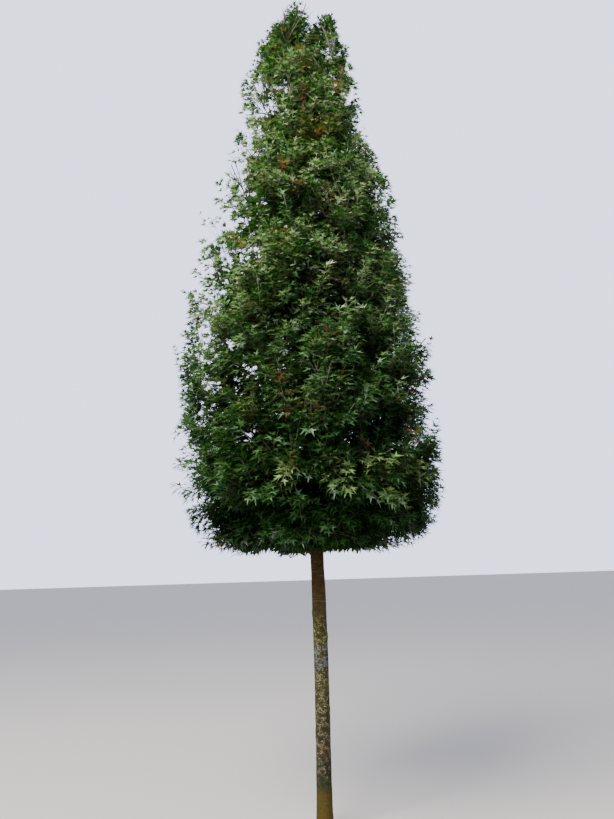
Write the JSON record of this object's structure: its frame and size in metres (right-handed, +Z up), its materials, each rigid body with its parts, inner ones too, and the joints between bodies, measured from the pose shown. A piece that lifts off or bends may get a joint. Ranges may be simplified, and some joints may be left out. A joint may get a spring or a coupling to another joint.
{
  "type": "crabapple tree",
  "caption": "Young upright crabapple tree: a straight bare stem, ascending boughs and a narrow dense cone of three-lobed green leaves with a few russet sprays.",
  "frame": {"origin": "centre of the flat cut under the stem, at ground level", "axes": "+Z up along the stem; the pictured side faces -Y"},
  "size_m": [1.7817, 1.8164, 6.1225],
  "materials": {
    "trunk_bark": "rough",
    "bough_bark": "rough",
    "foliage": "satin"
  },
  "bodies": {
    "root": {"bough_01": "bough_bark", "bough_02": "bough_bark", "bough_03": "bough_bark", "bough_04": "bough_bark", "bough_05": "bough_bark", "bough_06": "bough_bark", "bough_07": "bough_bark", "bough_08": "bough_bark", "bough_09": "bough_bark", "bough_10": "bough_bark", "bough_11": "bough_bark", "bough_12": "bough_bark", "bough_13": "bough_bark", "bough_14": "bough_bark", "bough_15": "bough_bark", "bough_16": "bough_bark", "bough_17": "bough_bark", "bough_18": "bough_bark", "bough_19": "bough_bark", "bough_20": "bough_bark", "bough_21": "bough_bark", "foliage_01": "foliage", "foliage_02": "foliage", "foliage_03": "foliage", "foliage_04": "foliage", "foliage_05": "foliage", "foliage_06": "foliage", "foliage_07": "foliage", "foliage_08": "foliage", "foliage_09": "foliage", "foliage_10": "foliage", "foliage_11": "foliage", "foliage_12": "foliage", "foliage_13": "foliage", "foliage_14": "foliage", "foliage_15": "foliage", "foliage_16": "foliage", "foliage_17": "foliage", "foliage_18": "foliage", "foliage_19": "foliage", "foliage_20": "foliage", "foliage_21": "foliage", "foliage_leader": "foliage", "trunk": "trunk_bark"}
  },
  "joints": []
}
